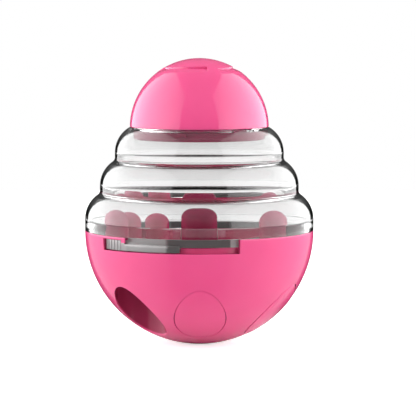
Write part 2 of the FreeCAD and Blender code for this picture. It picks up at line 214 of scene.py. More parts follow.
def swept(profile, azimuth, steps=4):
    """Points (rows, columns, 3): the profile at each azimuth, its values being numbers or one per
    azimuth. A corner with a rounding becomes a parabola arc that touches both of its sides:
    corner + a t (1-s)^2 + b t s^2, where a and b point along the sides, t is how far the rounding
    reaches along them, and s goes from 0 to 1. Two roundings that share a side each keep to less
    than half of it."""
    table = np.array([
        [np.broadcast_to(np.asarray(value, float), azimuth.shape) for value in point]
        for point in profile
    ])
    corner = table[:, :2].transpose(0, 2, 1)
    back = np.roll(corner, 1, axis=0) - corner
    ahead = np.roll(corner, -1, axis=0) - corner
    back_length = np.maximum(np.linalg.norm(back, axis=2, keepdims=True), 1e-9)
    ahead_length = np.maximum(np.linalg.norm(ahead, axis=2, keepdims=True), 1e-9)
    back = back / back_length
    ahead = ahead / ahead_length
    cosine = np.clip((back * ahead).sum(axis=2, keepdims=True), -0.9999, 0.9999)
    reach = table[:, 2, :, None] * np.sqrt((1 + cosine) / (1 - cosine))
    rounded = (table[:, 2].max(axis=1) > 0)[:, None, None]
    back_share = np.where(np.roll(rounded, 1, axis=0), 0.45, 0.98)
    ahead_share = np.where(np.roll(rounded, -1, axis=0), 0.45, 0.98)
    reach = np.minimum(reach, np.minimum(back_share * back_length, ahead_share * ahead_length))
    s = np.linspace(0, 1, steps + 1)[:, None, None]
    rows = []
    for i, rounding in enumerate(table[:, 2].max(axis=1)):
        if rounding > 0:
            rows += list(corner[i] + back[i] * reach[i] * (1 - s) ** 2 + ahead[i] * reach[i] * s**2)
        else:
            rows.append(corner[i])
    flat = np.array(rows)
    r, z = flat[..., 0], flat[..., 1]
    turn = np.radians(azimuth)
    return np.stack([r * np.sin(turn), -r * np.cos(turn), z], axis=2)


def skin(points, ring=False):
    """Closed mesh from points (rows, columns, 3). Columns run round, and rows do too if ring. A
    first or last row in one point closes as a pole. Its faces look outward: they are turned round
    where the volume that they hold, the sum of a . (b x c) over their triangles, is negative."""
    count, width = points.shape[:2]
    index = np.arange(count * width).reshape(count, width)
    low = index if ring else index[:-1]
    high = np.roll(index, -1, axis=0) if ring else index[1:]
    corners = [low, np.roll(low, -1, axis=1), np.roll(high, -1, axis=1), high]
    quads = np.stack(corners, axis=-1).reshape(-1, 4)
    flat = points.reshape(-1, 3) * MM
    a, b, c, d = (flat[quads[:, i]] for i in range(4))
    volume = np.einsum("ij,ij->", a, np.cross(b, c)) + np.einsum("ij,ij->", a, np.cross(c, d))
    if volume < 0:
        quads = quads[:, ::-1]
    mesh = bpy.data.meshes.new("form")
    mesh.vertices.add(len(flat))
    mesh.vertices.foreach_set("co", flat.ravel())
    mesh.loops.add(quads.size)
    mesh.loops.foreach_set("vertex_index", quads.ravel())
    mesh.polygons.add(len(quads))
    mesh.polygons.foreach_set("loop_start", np.arange(len(quads)) * 4)
    mesh.update(calc_edges=True)
    work = bmesh.new()
    work.from_mesh(mesh)
    bmesh.ops.remove_doubles(work, verts=work.verts, dist=1e-7)
    bmesh.ops.dissolve_degenerate(work, edges=work.edges, dist=1e-8)
    work.to_mesh(mesh)
    work.free()
    return mesh


def prism(outline, low, high, soft=0.0):
    """Closed mesh of a flat outline (x, y) raised from low to high, its edges rounded by soft."""
    work = bmesh.new()
    face = work.faces.new([work.verts.new((x * MM, y * MM, low * MM)) for x, y in outline])
    raised = bmesh.ops.extrude_face_region(work, geom=[face])["geom"]
    top = [v for v in raised if isinstance(v, bmesh.types.BMVert)]
    bmesh.ops.translate(work, verts=top, vec=(0, 0, (high - low) * MM))
    bmesh.ops.recalc_face_normals(work, faces=work.faces)
    if soft:
        bmesh.ops.bevel(
            work, geom=list(work.edges), offset=soft * MM, segments=2, profile=0.5, affect="EDGES",
        )
    mesh = bpy.data.meshes.new("form")
    work.to_mesh(mesh)
    work.free()
    return mesh


def gathered(*meshes):
    """One mesh with everything in several."""
    work = bmesh.new()
    for mesh in meshes:
        work.from_mesh(mesh)
    whole = bpy.data.meshes.new("form")
    work.to_mesh(whole)
    work.free()
    return whole


def moved(mesh, x=0.0, y=0.0, azimuth=0.0):
    """The mesh turned about Z and then moved."""
    turn = Matrix.Rotation(math.radians(azimuth), 4, "Z")
    mesh.transform(Matrix.Translation((x * MM, y * MM, 0.0)) @ turn)
    return mesh


def tipped_up(mesh, azimuth=0.0):
    """The mesh turned a quarter about X, so that its y becomes height, and then about Z."""
    turn = Matrix.Rotation(math.radians(azimuth), 4, "Z")
    mesh.transform(turn @ Matrix.Rotation(math.radians(90), 4, "X"))
    return mesh


def carved(mesh, other, operation):
    """The mesh joined with the other, or less it."""
    base, tool = (bpy.data.objects.new("form", m) for m in (mesh, other))
    for part in (base, tool):
        bpy.context.scene.collection.objects.link(part)
    step = base.modifiers.new("carve", "BOOLEAN")
    step.operation = operation
    step.solver = "EXACT"
    step.object = tool
    shaped = base.evaluated_get(bpy.context.evaluated_depsgraph_get())
    result = bpy.data.meshes.new_from_object(shaped)
    for part in (base, tool):
        bpy.data.objects.remove(part)
    return result


def piece(name, mesh, node, body, material):
    """A named piece in the place of a CAD node."""
    mesh.name = name
    mesh.materials.clear()
    mesh.materials.append(material)
    item = bpy.data.objects.new(name, mesh)
    bpy.context.scene.collection.objects.link(item)
    mesh.shade_smooth()
    mesh.set_sharp_from_angle(angle=math.radians(SHARP_FROM))
    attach(item, body)
    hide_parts(node)
    return item


def ball_r(radius, z):
    """Distance from the axis, at a height, to a sphere of radius R about the bowl's centre:
    sqrt(R^2 - (z - RIM_Z)^2)."""
    return math.sqrt(max(radius**2 - (z - RIM_Z) ** 2, 0.0))


def at(azimuth, radius):
    """x and y at an azimuth and a distance from the axis: radius (sin, -cos)."""
    turn = math.radians(azimuth)
    return radius * math.sin(turn), -radius * math.cos(turn)


def upright(azimuth, ring_r, radius, low, high, step=3.0):
    """Cylinder that stands at an azimuth."""
    x, y = at(azimuth, ring_r)
    profile = [(0, low, 0), (radius, low, 0), (radius, high, 0), (0, high, 0)]
    return moved(skin(swept(profile, azimuths(step))), x, y)


def footed(azimuth, ring_r, radius, high, step=3.0):
    """Cylinder that stands at an azimuth, with its lower end on the pillars' sphere of radius R:
    z = RIM_Z - sqrt(R^2 - x^2 - y^2)."""
    x, y = at(azimuth, ring_r)
    turn = np.radians(azimuths(step))
    share = np.linspace(0, 1, 7)[:, None]
    side, depth = share * radius * np.sin(turn), -share * radius * np.cos(turn)
    foot = RIM_Z - np.sqrt(PILLAR_BALL_R**2 - (side + x) ** 2 - (depth + y) ** 2)
    low = np.stack([side, depth, foot], axis=2)
    high_rows = low[::-1].copy()
    high_rows[..., 2] = high
    return moved(skin(np.concatenate([low, high_rows])), x, y)


def ring_part(r_in, r_out, low, high, first, last):
    """Stretch of a square-edged ring between two azimuths."""
    angles = np.linspace(first, last, max(int(abs(last - first) * 1.5), 2) + 1)
    outline = [at(a, r_out) for a in angles] + [at(a, r_in) for a in angles[::-1]]
    return prism(outline, low, high)


def bowl_mesh():
    """Bowl: two arcs about the middle of its rim turned round the axis, so that x^2 + y^2 +
    (z - RIM_Z)^2 = R^2 inside and out. Chimneys and posts are joined on. The outlets' shafts and
    the two bayonet windows are cut out, and a nub is left under each window's bridge."""
    foot = math.degrees(math.atan2(-RIM_Z, ball_r(BOWL_R, 0.0)))
    profile = [(0, 0, 0)] + arc((0, RIM_Z), BOWL_R, foot, 0, steps=90)
    profile[-1] = (BOWL_R, RIM_Z, RIM_ROUND)
    profile += [(BOWL_IN_R, RIM_Z, RIM_ROUND)] + arc((0, RIM_Z), BOWL_IN_R, -1, -90, steps=60)
    wall = skin(swept(profile, azimuths(1.0)))
    pillars = [footed(a, OUTLET_RING_R, CHIMNEY_R, TRAY_LOW_Z) for a in ALL_OUTLETS]
    pillars += [footed(a, SCREW_RING_R, TRAY_BOSS_R, TRAY_LOW_Z, step=15) for a in TRAY_SCREWS]
    pillars += [footed(a, SCREW_RING_R, COVER_BOSS_R, WEIGHT_TOP_Z, step=15) for a in COVER_SCREWS]
    body = carved(wall, gathered(*pillars), "UNION")

    bridged, opened, ended = WINDOW_SPAN
    through_wall = (BOWL_IN_R - CUT_OVER, BOWL_R + CUT_OVER)
    holes = [upright(a, OUTLET_RING_R, OUTLET_R, -CUT_OVER, RIM_Z, step=2.5) for a in ALL_OUTLETS]
    holes += [
        ring_part(*through_wall, WINDOW_Z, RIM_Z + CUT_OVER, opened + side, ended + side)
        for side in BOTH_SIDES
    ]
    body = carved(body, gathered(*holes), "DIFFERENCE")
    low = WINDOW_Z + FACE_GAP
    under = [
        ring_part(*through_wall, low, BRIDGE_Z, bridged + side, opened + WINDOW_LAP + side)
        for side in BOTH_SIDES
    ]
    body = carved(body, gathered(*under), "DIFFERENCE")

    nub_z = RIM_Z - NUB_H
    nub_r = ball_r(BOWL_R, nub_z)
    first, last = (opened - before for before in NUB_SPAN)
    nubs = [
        ring_part(nub_r - NUB_T, nub_r, nub_z, RIM_Z - NUB_ROOT, first + side, last + side)
        for side in BOTH_SIDES
    ]
    return carved(body, gathered(*nubs), "UNION")


def bulges():
    """Outer side of the three bulges, from the first waist up: the arc of each one runs on,
    tangent, into a fillet that ends upright at the next waist. The fillet's centre lies ARC_R +
    CREASE_R from the arc's."""
    points = []
    for i, (waist_r, z) in enumerate(WAISTS):
        centre = (waist_r - ARC_R, z)
        if i == 2:
            top = math.degrees(math.asin((NECK_Z - z) / ARC_R))
            return points + arc(centre, ARC_R, 0, top, steps=20)
        fillet_r = WAISTS[i + 1][0] + CREASE_R
        fillet_z = z + math.sqrt((ARC_R + CREASE_R) ** 2 - (fillet_r - centre[0]) ** 2)
        turn = math.degrees(math.atan2(fillet_z - z, fillet_r - centre[0]))
        points += arc(centre, ARC_R, 0, turn, steps=16)
        points += arc((fillet_r, fillet_z), CREASE_R, turn + 180, 180, steps=8)[1:]


def cavity():
    """Inner side of the three bulges, from the first waist up: an arc that is parallel to the
    outer one up to PARALLEL_TO degrees and then flattens evenly, to CEILING_SHARE of its height,
    as far as a rounded ridge under the crease. The ridge's upper face leans out in a straight
    line to the next waist."""
    radius = ARC_R - SHELL_WALL
    points = []
    for i, (waist_r, z) in enumerate(WAISTS):
        centre = (waist_r - ARC_R, z)
        if i == 2:
            top = math.degrees(math.asin((RING_Z - z) / radius))
            return points + arc(centre, radius, 0, top, steps=20)
        ridge = math.degrees(math.acos((WAISTS[i + 1][0] - RIDGE_T[i] - centre[0]) / radius))
        under = arc(centre, radius, 0, PARALLEL_TO, steps=12)
        under += arc(centre, radius, PARALLEL_TO, ridge - 6, steps=5)[1:]
        under += arc(centre, radius, ridge, ridge + 1, steps=1)[:1]
        for r, up, _ in under:
            turn = math.degrees(math.acos((r - centre[0]) / radius))
            flatter = (1 - CEILING_SHARE) * max(turn - PARALLEL_TO, 0.0) / (ridge - PARALLEL_TO)
            points.append((r, up - flatter * (up - z), 0.0))
        tip_r, tip_z = points[-1][:2]
        points[-1] = (tip_r, tip_z, RIDGE_ROUND)
        lean_r, lean_z = WAISTS[i + 1][0] - SHELL_WALL - tip_r, WAISTS[i + 1][1] - tip_z
        points += [(tip_r + t * lean_r, tip_z + t * lean_z, 0.0) for t in (0.5, 0.93, 0.985)]


def shell_mesh():
    """Clear shell: one closed profile turned round the axis, up the bulges, over the neck's ring,
    down the cavity and round the lip. The lip's radius and heights change with the azimuth where
    the two tabs stand out, and so does the ring's underside at the notches. A latch rib adds
    R sqrt(1 - u^2) to the radius, u being the way from its middle over its own R."""
    block_end, block_start, tab_end = TAB_SPAN
    tab_ends = [end + side for end in TAB_SPAN for side in BOTH_SIDES]
    notch_ends = [middle + d for middle in NOTCHES for d in (-NOTCH_HALF, NOTCH_HALF)]
    pitch = (block_start - block_end) / (LATCH_RIBS + 1)
    ribs = np.array([
        block_end + (i + 1) * pitch + side for i in range(LATCH_RIBS) for side in BOTH_SIDES
    ])
    rib_turn = np.degrees(LATCH_RIB_R / TAB_R)
    around_ribs = np.add.outer(ribs, rib_turn * np.linspace(-1, 1, 7)).ravel()
    columns = azimuths(1.5, tab_ends + notch_ends, extra=around_ribs)
    tab = sum(within(columns, block_end + side, tab_end + side) for side in BOTH_SIDES)
    block = sum(within(columns, block_end + side, block_start + side) for side in BOTH_SIDES)
    notch = sum(within(columns, middle - NOTCH_HALF, middle + NOTCH_HALF) for middle in NOTCHES)
    off = np.radians(np.abs((columns[:, None] - ribs + 180) % 360 - 180)).min(axis=1)
    off = off * TAB_R / LATCH_RIB_R
    rib = LATCH_RIB_R * np.sqrt(np.clip(1 - off**2, 0, 1))
    lip_in_r, lip_r = LIP_R
    tab_r = lip_r + SEAM + (TAB_R - lip_r - SEAM) * tab + rib
    tab_low = LIP_LOW_Z + (TAB_Z[0] - LIP_LOW_Z) * tab
    tab_high = TAB_Z[1] + (TAB_Z[2] - TAB_Z[1]) * block
    ring_z = RING_Z + NOTCH_DEPTH * notch
    profile = [(BOWL_R, SHELL_LOW_Z, 0.15)] + bulges()
    profile[-1] = profile[-1][:2] + (0.25,)
    profile += [(MOUTH_R, NECK_Z, 0.2), (MOUTH_R, ring_z, 0.15), (MOUTH_R + RING_W, ring_z, 0)]
    profile += reversed(cavity())
    profile += [
        (BOWL_R - SHELL_WALL, STEP_Z, 0.03), (lip_in_r, STEP_Z, 0.25), (lip_in_r, tab_low, 0.2),
        (tab_r, tab_low, 0.2), (tab_r, tab_high, 0.15), (lip_r, tab_high, 0),
        (lip_r, SHELL_LOW_Z, 0.1),
    ]
    return skin(swept(profile, columns), ring=True)


def give_latches(mesh, material):
    """Gives the faces of the lip and the latch tabs under the rim a second material, apart from
    the lip's inner side."""
    mesh.materials.append(material)
    centres = np.empty(3 * len(mesh.polygons))
    mesh.polygons.foreach_get("center", centres)
    x, y, z = centres.reshape(-1, 3).T / MM
    chosen = (z < RIM_Z - 0.1) & (np.hypot(x, y) > LIP_R[0] + 0.3)
    mesh.polygons.foreach_set("material_index", chosen.astype(np.int32))


def dome_mesh():
    """Ball with three finger grips, each a depth taken off its radius. A grip has a wall on its
    inner side, on a spiral from GRIP_R[0] to GRIP_R[1], and its floor rises outward from that wall
    to the ball: depth = D (1 - d / GRIP_W), d being the way past the wall. D grows with the cube
    of the way along the grip."""
    wall_run, end_run = GRIP_RUN
    margin, fine, coarse = 0.3, 0.09, 0.4
    ends = [grip + d for grip in GRIPS for d in (-GRIP_SPAN / 2, GRIP_SPAN / 2)]
    columns = azimuths(1.5, ends, 2.2)
    wall_rings = np.arange(GRIP_R[1] - margin, GRIP_R[0] + margin, fine)
    floor_rings = np.arange(GRIP_R[0] + coarse, GRIP_R[0] + GRIP_W + margin, coarse)
    grip_angles = np.degrees(np.arcsin(np.concatenate([wall_rings, floor_rings]) / DOME_R))
    edge = math.degrees(math.acos((DOME_BASE_Z - DOME_CENTRE_Z) / DOME_R))
    polar = np.unique(np.concatenate([np.linspace(0, edge, 36), grip_angles]))[::-1]
    profile = arc((0, DOME_CENTRE_Z), DOME_R - DOME_WALL, 90, DOME_IN_LOW, steps=30)
    profile[-1] = profile[-1][:2] + (0.15,)
    first = len(profile)
    for angle in polar:
        turn = math.radians(angle)
        r = DOME_R * math.sin(turn)
        depth = np.zeros(columns.shape)
        for grip in GRIPS:
            share = ((columns - grip + 180) % 360 - 180) / GRIP_SPAN + 0.5
            from_ends = np.minimum(share, 1 - share) * math.radians(GRIP_SPAN) * r
            along = np.clip(share, 0, 1)
            past = r - (GRIP_R[0] + (GRIP_R[1] - GRIP_R[0]) * along)
            t = np.clip(0.5 + np.minimum(past / wall_run, from_ends / end_run), 0, 1)
            deepest = GRIP_DEPTH[0] + (GRIP_DEPTH[1] - GRIP_DEPTH[0]) * along**3
            rising = np.clip(1 - past / GRIP_W, 0, 1)
            depth = np.maximum(depth, deepest * t * t * (3 - 2 * t) * rising)
        reach = DOME_R - depth
        profile.append((reach * math.sin(turn), DOME_CENTRE_Z + reach * math.cos(turn), 0.0))
    profile[first] = (DOME_R * math.sin(math.radians(edge)), DOME_BASE_Z, 0.2)
    return skin(swept(profile, columns))


def plug_mesh():
    """Cup under the dome: a profile turned round the axis, whose radius grows by LUG_OUT at the
    three lugs."""
    lug_ends = [middle + d for middle in LUGS for d in (-LUG_HALF, LUG_HALF)]
    columns = azimuths(2.0, lug_ends, LUG_SOFT)
    lug = sum(within(columns, middle - LUG_HALF, middle + LUG_HALF, LUG_SOFT) for middle in LUGS)
    lug_r = PLUG_R + SEAM + LUG_OUT * lug
    lug_top = LUG_Z + LUG_H
    in_r = SPIGOT_R - PLUG_WALL
    floor_z = PLUG_LOW_Z + PLUG_WALL
    profile = [
        (0, PLUG_LOW_Z, 0), (PLUG_R, PLUG_LOW_Z, PLUG_ROUND),
        (PLUG_R, LUG_Z, 0), (lug_r, LUG_Z, 0.2), (lug_r, lug_top, 0.2), (PLUG_R, lug_top, 0),
        (PLUG_R, DOME_BASE_Z, 0.15), (SPIGOT_R, DOME_BASE_Z, 0.1), (SPIGOT_R, SPIGOT_Z, 0.3),
        (in_r, SPIGOT_Z, 0.2), (in_r, floor_z, 0.5), (0, floor_z, 0),
    ]
    return skin(swept(profile, columns))


def post_mesh():
    """Centre post, hollow from below: a profile with a domed top, a collar and a foot flange
    turned round the axis."""
    crown = (POST_R - POST_ROUND, POST_TOP_Z - POST_ROUND)
    collar_low, collar_high = COLLAR_Z
    profile = [(0, POST_TOP_Z, 0)] + arc(crown, POST_ROUND, 90, 0, steps=14)
    profile += [
        (POST_R, collar_high, 0.1), (COLLAR_R, collar_high, 0.25), (COLLAR_R, collar_low, 0.25),
        (POST_R, collar_low, 0.1), (POST_R, FLANGE_Z, 0.4), (FLANGE_R, FLANGE_Z, 0.3),
        (FLANGE_R, FLOOR_Z, 0.1), (POST_IN_R, FLOOR_Z, 0.1),
    ]
    profile += arc(crown, POST_ROUND - POST_WALL, 0, 90, steps=8)
    profile += [(0, POST_TOP_Z - POST_WALL, 0)]
    return skin(swept(profile, azimuths(4)))


def peg_mesh(azimuth, ring_r, radius, low, top):
    """Upright bullet: a cylinder with half a ball for its end."""
    profile = [(0, low, 0), (radius, low, 0)] + arc((0, top - radius), radius, 0, 90, steps=12)
    x, y = at(azimuth, ring_r)
    return moved(skin(swept(profile, azimuths(6))), x, y)


def arm_mesh(azimuth):
    """Snap arm: a gusset with a hook, cut from a plate that stands on edge."""
    return moved(tipped_up(prism(ARM_OUTLINE, -ARM_HALF_W, ARM_HALF_W, 0.2)), azimuth=azimuth - 90)


def tray_mesh():
    """Dish: a flat floor, a bend, a wall on two spheres about the bowl's centre and a thin rim,
    turned round the axis. Pegs and snap arms are joined on. The holes over the outlets, the screw
    holes and the pegs' hollows are cut out."""
    in_r = TRAY_R - TRAY_T
    bend_z = FLOOR_Z + TRAY_BEND[1]
    bend_r = ball_r(in_r, bend_z)
    first = math.degrees(math.atan2(bend_z - RIM_Z, bend_r))
    last = math.degrees(math.asin((TRAY_EDGE_Z - RIM_Z) / in_r))
    profile = [(0, FLOOR_Z, 0), (bend_r - TRAY_BEND[0], FLOOR_Z, 1.5), (bend_r, bend_z, 0.8)]
    profile += arc((0, RIM_Z), in_r, first, last, steps=6)[1:]
    profile += [
        (TRAY_RIM_R[0], TRAY_EDGE_Z + 0.4, 0.15), (TRAY_RIM_R[0], TRAY_RIM_Z, 0.2),
        (TRAY_RIM_R[1], TRAY_RIM_Z, 0.2), (TRAY_RIM_R[1], TRAY_EDGE_Z + 0.3, 0.15),
    ]
    out_first = math.degrees(math.asin((TRAY_EDGE_Z - RIM_Z) / TRAY_R))
    out_last = math.degrees(math.asin((TRAY_LOW_Z - RIM_Z) / TRAY_R))
    outer = arc((0, RIM_Z), TRAY_R, out_first, out_last, steps=8)
    outer[0] = outer[0][:2] + (0.3,)
    outer[-1] = outer[-1][:2] + (0.3,)
    dish = skin(swept(profile + outer + [(0, TRAY_LOW_Z, 0)], azimuths(2.0)))
    risers = [peg_mesh(a, ring_r, r, FLOOR_Z - TRAY_T / 2, top) for a, ring_r, r, top in PEGS]
    body = carved(dish, gathered(*risers, arm_mesh(-90), arm_mesh(90)), "UNION")

    low, over_rim, over_floor = TRAY_LOW_Z - CUT_OVER, TRAY_RIM_Z + CUT_OVER, FLOOR_Z + CUT_OVER
    holes = [upright(a, OUTLET_RING_R, TRAY_HOLE_R, low, over_rim) for a in ALL_OUTLETS]
    holes += [
        upright(a, SCREW_RING_R, SCREW_HOLE_R, low, over_floor, step=15) for a in TRAY_SCREWS
    ]
    holes += [peg_mesh(a, ring_r, r - PEG_WALL, low, top - PEG_WALL) for a, ring_r, r, top in PEGS]
    return carved(body, gathered(*holes), "DIFFERENCE")


def stopper_mesh(azimuth, proud):
    """Plug of an outlet: a round cup whose underside lies on a sphere about the bowl's centre,
    with cross ribs, two ears and a finger fin."""
    turn = np.radians(azimuths(3.0))
    ball = BOWL_R + proud
    top = STOPPER_TOP_Z
    soft = STOPPER_ROUND
    in_r = STOPPER_R - STOPPER_WALL

    def row(radius, height=None, sphere=None, lift=0.0):
        """Ring of points about the plug's axis, at a height or on a sphere of radius R about the
        bowl's centre: z = RIM_Z - sqrt(R^2 - x^2 - y^2) + lift."""
        x = OUTLET_RING_R + radius * np.cos(turn)
        y = radius * np.sin(turn)
        if sphere is None:
            z = np.full(turn.shape, height)
        else:
            z = RIM_Z - np.sqrt(sphere**2 - x**2 - y**2) + lift
        return np.stack([x, y, z], axis=1)

    rows = [row(r, sphere=ball) for r in np.linspace(0, STOPPER_R - soft, 10)]
    rows += [
        row(STOPPER_R - soft * (1 - math.sin(a)), sphere=ball, lift=soft * (1 - math.cos(a)))
        for a in np.radians([25, 50, 75, 90])
    ]
    rows += [
        row(r, height=z) for r, z in (
            (STOPPER_R, top - 0.2), (STOPPER_R - 0.06, top - 0.06), (STOPPER_R - 0.2, top),
            (in_r + 0.2, top), (in_r + 0.06, top - 0.06), (in_r, top - 0.2),
        )
    ]
    rows += [row(r, sphere=STOPPER_FLOOR_R) for r in (in_r, *np.linspace(in_r * 0.8, 0, 5))]
    cup = skin(np.array(rows))

    corner_u, corner_v = FIN_HALF_W - FIN_ROUND, FIN_Z[1] - FIN_ROUND
    corners = [
        (corner_u + FIN_ROUND * math.cos(a), corner_v + FIN_ROUND * math.sin(a))
        for a in np.radians(np.linspace(0, 90, 7))
    ]
    outline = [(-FIN_HALF_W, FIN_Z[0]), (FIN_HALF_W, FIN_Z[0])] + corners
    outline += [(-u, v) for u, v in reversed(corners)]
    fin = tipped_up(prism(outline, -FIN_HALF_T, FIN_HALF_T, 0.35), azimuth=90)
    fin = moved(fin, OUTLET_RING_R)

    reach = in_r + RIB_INTO
    near, far = EAR_R
    ears = [
        prism([(near, a), (far, a), (far, b), (near, b)], FLOOR_Z, top, 0.25)
        for a, b in ((-EAR_REACH, -reach), (reach, EAR_REACH))
    ]

    # One rib lies along the line to the bowl's axis and one across it. away is how far from that
    # axis a place on the rib is.
    ribs = []
    along = np.linspace(-reach, reach, 15)
    for offset, rib_azimuth in ((0.0, 0.0), (OUTLET_RING_R, 90.0)):
        away = np.hypot(along + OUTLET_RING_R - offset, offset)
        low = RIM_Z - np.sqrt(PILLAR_BALL_R**2 - away**2)
        side = list(zip(along, low)) + [(reach, top - RIB_BELOW), (-reach, top - RIB_BELOW)]
        rib = moved(tipped_up(prism(side, -RIB_HALF_T, RIB_HALF_T, 0.1)), azimuth=rib_azimuth)
        ribs.append(moved(rib, OUTLET_RING_R))
    return moved(gathered(cup, fin, *ears, *ribs), azimuth=azimuth - 90)


# Materials
LIT_THROUGH = (0.66, 0.66, 0.66, 1)
WHITE = (1, 1, 1, 1)


def linear(code):
    """Linear colour from a six-digit sRGB hex code."""
    parts = [int(code[i:i + 2], 16) / 255 for i in (0, 2, 4)]
    levels = (c / 12.92 if c <= 0.04045 else ((c + 0.055) / 1.055) ** 2.4 for c in parts)
    return (*levels, 1.0)


def add(tree, kind, settings=None, **values):
    """New shader node. settings are its properties. values are its inputs, by name or, as in i0,
    by number, and each is a constant or an output to link."""
    node = tree.nodes.new("ShaderNode" + kind)
    for name, value in (settings or {}).items():
        setattr(node, name, value)
    for name, value in values.items():
        by_number = name[0] == "i" and name[1:].isdigit()
        socket = node.inputs[int(name[1:]) if by_number else name.replace("_", " ")]
        if isinstance(value, bpy.types.NodeSocket):
            tree.links.new(value, socket)
        else:
            socket.default_value = value
    return node


def surface(name):
    """New material with its tree, its main shader and its object coordinates."""
    material = bpy.data.materials.new(name)
    material.use_nodes = True
    tree = material.node_tree
    return material, tree, tree.nodes["Principled BSDF"], add(tree, "TexCoord").outputs["Object"]


def pattern(tree, place, size_mm, detail=2.0, cells=False):
    """An amount that wanders over a surface in soft lumps about size_mm wide, or that rises from
    the middle of each of many cells of that width."""
    if cells:
        scale = 1 / (size_mm * MM)
        return add(tree, "TexVoronoi", None, Vector=place, Scale=scale).outputs["Distance"]
    scale = 0.5 / (size_mm * MM)
    lumps = add(tree, "TexNoise", None, Vector=place, Scale=scale, Detail=detail, Roughness=0.5)
    return lumps.outputs["Fac"]


def mottled(tree, amount, low, high):
    """From low to high as an amount goes from 0.3 to 0.7: a colour between two hex codes, or a
    value between two numbers."""
    if isinstance(low, str):
        ramp = add(tree, "ValToRGB", None, Fac=amount)
        for stop, position, code in zip(ramp.color_ramp.elements, (0.3, 0.7), (low, high)):
            stop.position = position
            stop.color = linear(code)
        return ramp.outputs["Color"]
    return add(
        tree, "MapRange", None, Value=amount, From_Min=0.3, From_Max=0.7, To_Min=low, To_Max=high,
    ).outputs["Result"]


def relief(tree, *layers):
    """Normal of a surface with layers of relief on one another, each an amount and the height in
    micrometres that its full swing stands for."""
    normal = None
    for amount, micrometres in layers:
        bump = add(tree, "Bump", None, Height=amount, Strength=1.0, Distance=micrometres * 1e-6)
        if normal is not None:
            tree.links.new(normal, bump.inputs["Normal"])
        normal = bump.outputs["Normal"]
    return normal


def product(tree, *values):
    """Product of several values."""
    total = values[0]
    for value in values[1:]:
        total = add(tree, "Math", {"operation": "MULTIPLY"}, i0=total, i1=value).outputs[0]
    return total


def moulded_pink(name, first, second, rough, grain_mm, grain_um, wave_um, inside=None):
    """Injection-moulded pink ABS: the tint drifts over about 14 mm and the polish over about 6 mm,
    with slow waviness from the mould and its fine grain, so that highlights get soft, uneven edges.
    inside, where given, is painted shade: a darker tint for what lies nearer to the bowl's centre
    than the bowl's skin."""
    material, tree, shader, place = surface(name)
    colour = mottled(tree, pattern(tree, place, 14), first, second)
    if inside:
        centre = (0.0, 0.0, RIM_Z * MM)
        reach = add(tree, "VectorMath", {"operation": "DISTANCE"}, i0=place, i1=centre)
        # painted shade: what lies inside the bowl's skin takes the darker inside tint
        painted_shade_share = add(
            tree, "MapRange", None, Value=reach.outputs["Value"],
            From_Min=(BOWL_R - 0.9) * MM, From_Max=(BOWL_R - 0.4) * MM,
        ).outputs[0]
        mix = add(tree, "Mix", {"data_type": "RGBA"}, i0=painted_shade_share, i6=linear(inside), i7=colour)
        colour = mix.outputs[2]
    tree.links.new(colour, shader.inputs["Base Color"])
    polish = mottled(tree, pattern(tree, place, 6, 4.0), *rough)
    tree.links.new(polish, shader.inputs["Roughness"])
    waves = (pattern(tree, place, 9, 1.0), wave_um)
    grain = (pattern(tree, place, grain_mm), grain_um)
    tree.links.new(relief(tree, waves, grain), shader.inputs["Normal"])
    shader.inputs["IOR"].default_value = 1.53
    shader.inputs["Subsurface Weight"].default_value = 0.12
    shader.inputs["Subsurface Radius"].default_value = (1.0, 0.3, 0.4)
    shader.inputs["Subsurface Scale"].default_value = 0.0015
    return material


def clear_moulding(name):
    """Clear injection-moulded styrene copolymer, polished, with slow waviness. It is nearly clear
    seen square on and nearly black at a grazing angle, so the bulges get dark outlines. Its tint is
    a little darker in the lip and far darker under the rim, which is painted shade of the bowl
    around it, and a little darker above the third waist. Lamp light and light that matt pieces pass
    on go straight through each face, at the share LIT_THROUGH, so that what is inside is lit."""
    material, tree, shader, place = surface(name)
    polish = mottled(tree, pattern(tree, place, 8, 3.0), 0.0, 0.02)
    tree.links.new(polish, shader.inputs["Roughness"])
    tree.links.new(relief(tree, (pattern(tree, place, 12, 1.0), 12)), shader.inputs["Normal"])
    slant = add(tree, "LayerWeight", None, Blend=0.5).outputs["Facing"]
    height = add(tree, "SeparateXYZ", None, Vector=place).outputs["Z"]
    third_z = WAISTS[2][1]
    # The first two shares are painted shade: the tint falls to 0.45 under the rim and to 0.95 in
    # the lip below the step.
    shares = [
        add(
            tree, "MapRange", {"interpolation_type": curve}, Value=value,
            From_Min=start, From_Max=end, To_Min=low, To_Max=high,
        ).outputs[0]
        for curve, value, start, end, low, high in (
            ("LINEAR", height, (RIM_Z - 0.1) * MM, RIM_Z * MM, 0.45, 1.0),
            ("LINEAR", height, STEP_Z * MM, (STEP_Z + 0.1) * MM, 0.95, 1.0),
            ("SMOOTHSTEP", slant, 0.0, 0.6, 0.88, 0.7),
            ("SMOOTHSTEP", slant, 0.7, 0.94, 1.0, 0.005),
            ("LINEAR", height, (third_z - 2) * MM, (third_z + 2) * MM, 1.0, 0.93),
        )
    ]
    shade = product(tree, *shares)
    grey = add(tree, "CombineColor", None, Red=shade, Green=shade, Blue=shade).outputs[0]
    tree.links.new(grey, shader.inputs["Base Color"])
    shader.inputs["IOR"].default_value = 1.57
    shader.inputs["Specular Tint"].default_value = (0.7, 0.7, 0.7, 1)
    shader.inputs["Transmission Weight"].default_value = 1.0
    glass = shader.outputs["BSDF"]
    straight = add(tree, "BsdfTransparent", None, Color=LIT_THROUGH).outputs[0]
    way = add(tree, "LightPath").outputs
    for_lamps = add(tree, "MixShader", None, i0=way["Is Shadow Ray"], i1=glass, i2=straight)
    for_all = add(
        tree, "MixShader", None, i0=way["Is Diffuse Ray"], i1=for_lamps.outputs[0], i2=straight,
    )
    tree.links.new(for_all.outputs[0], tree.nodes["Material Output"].inputs["Surface"])
    return material


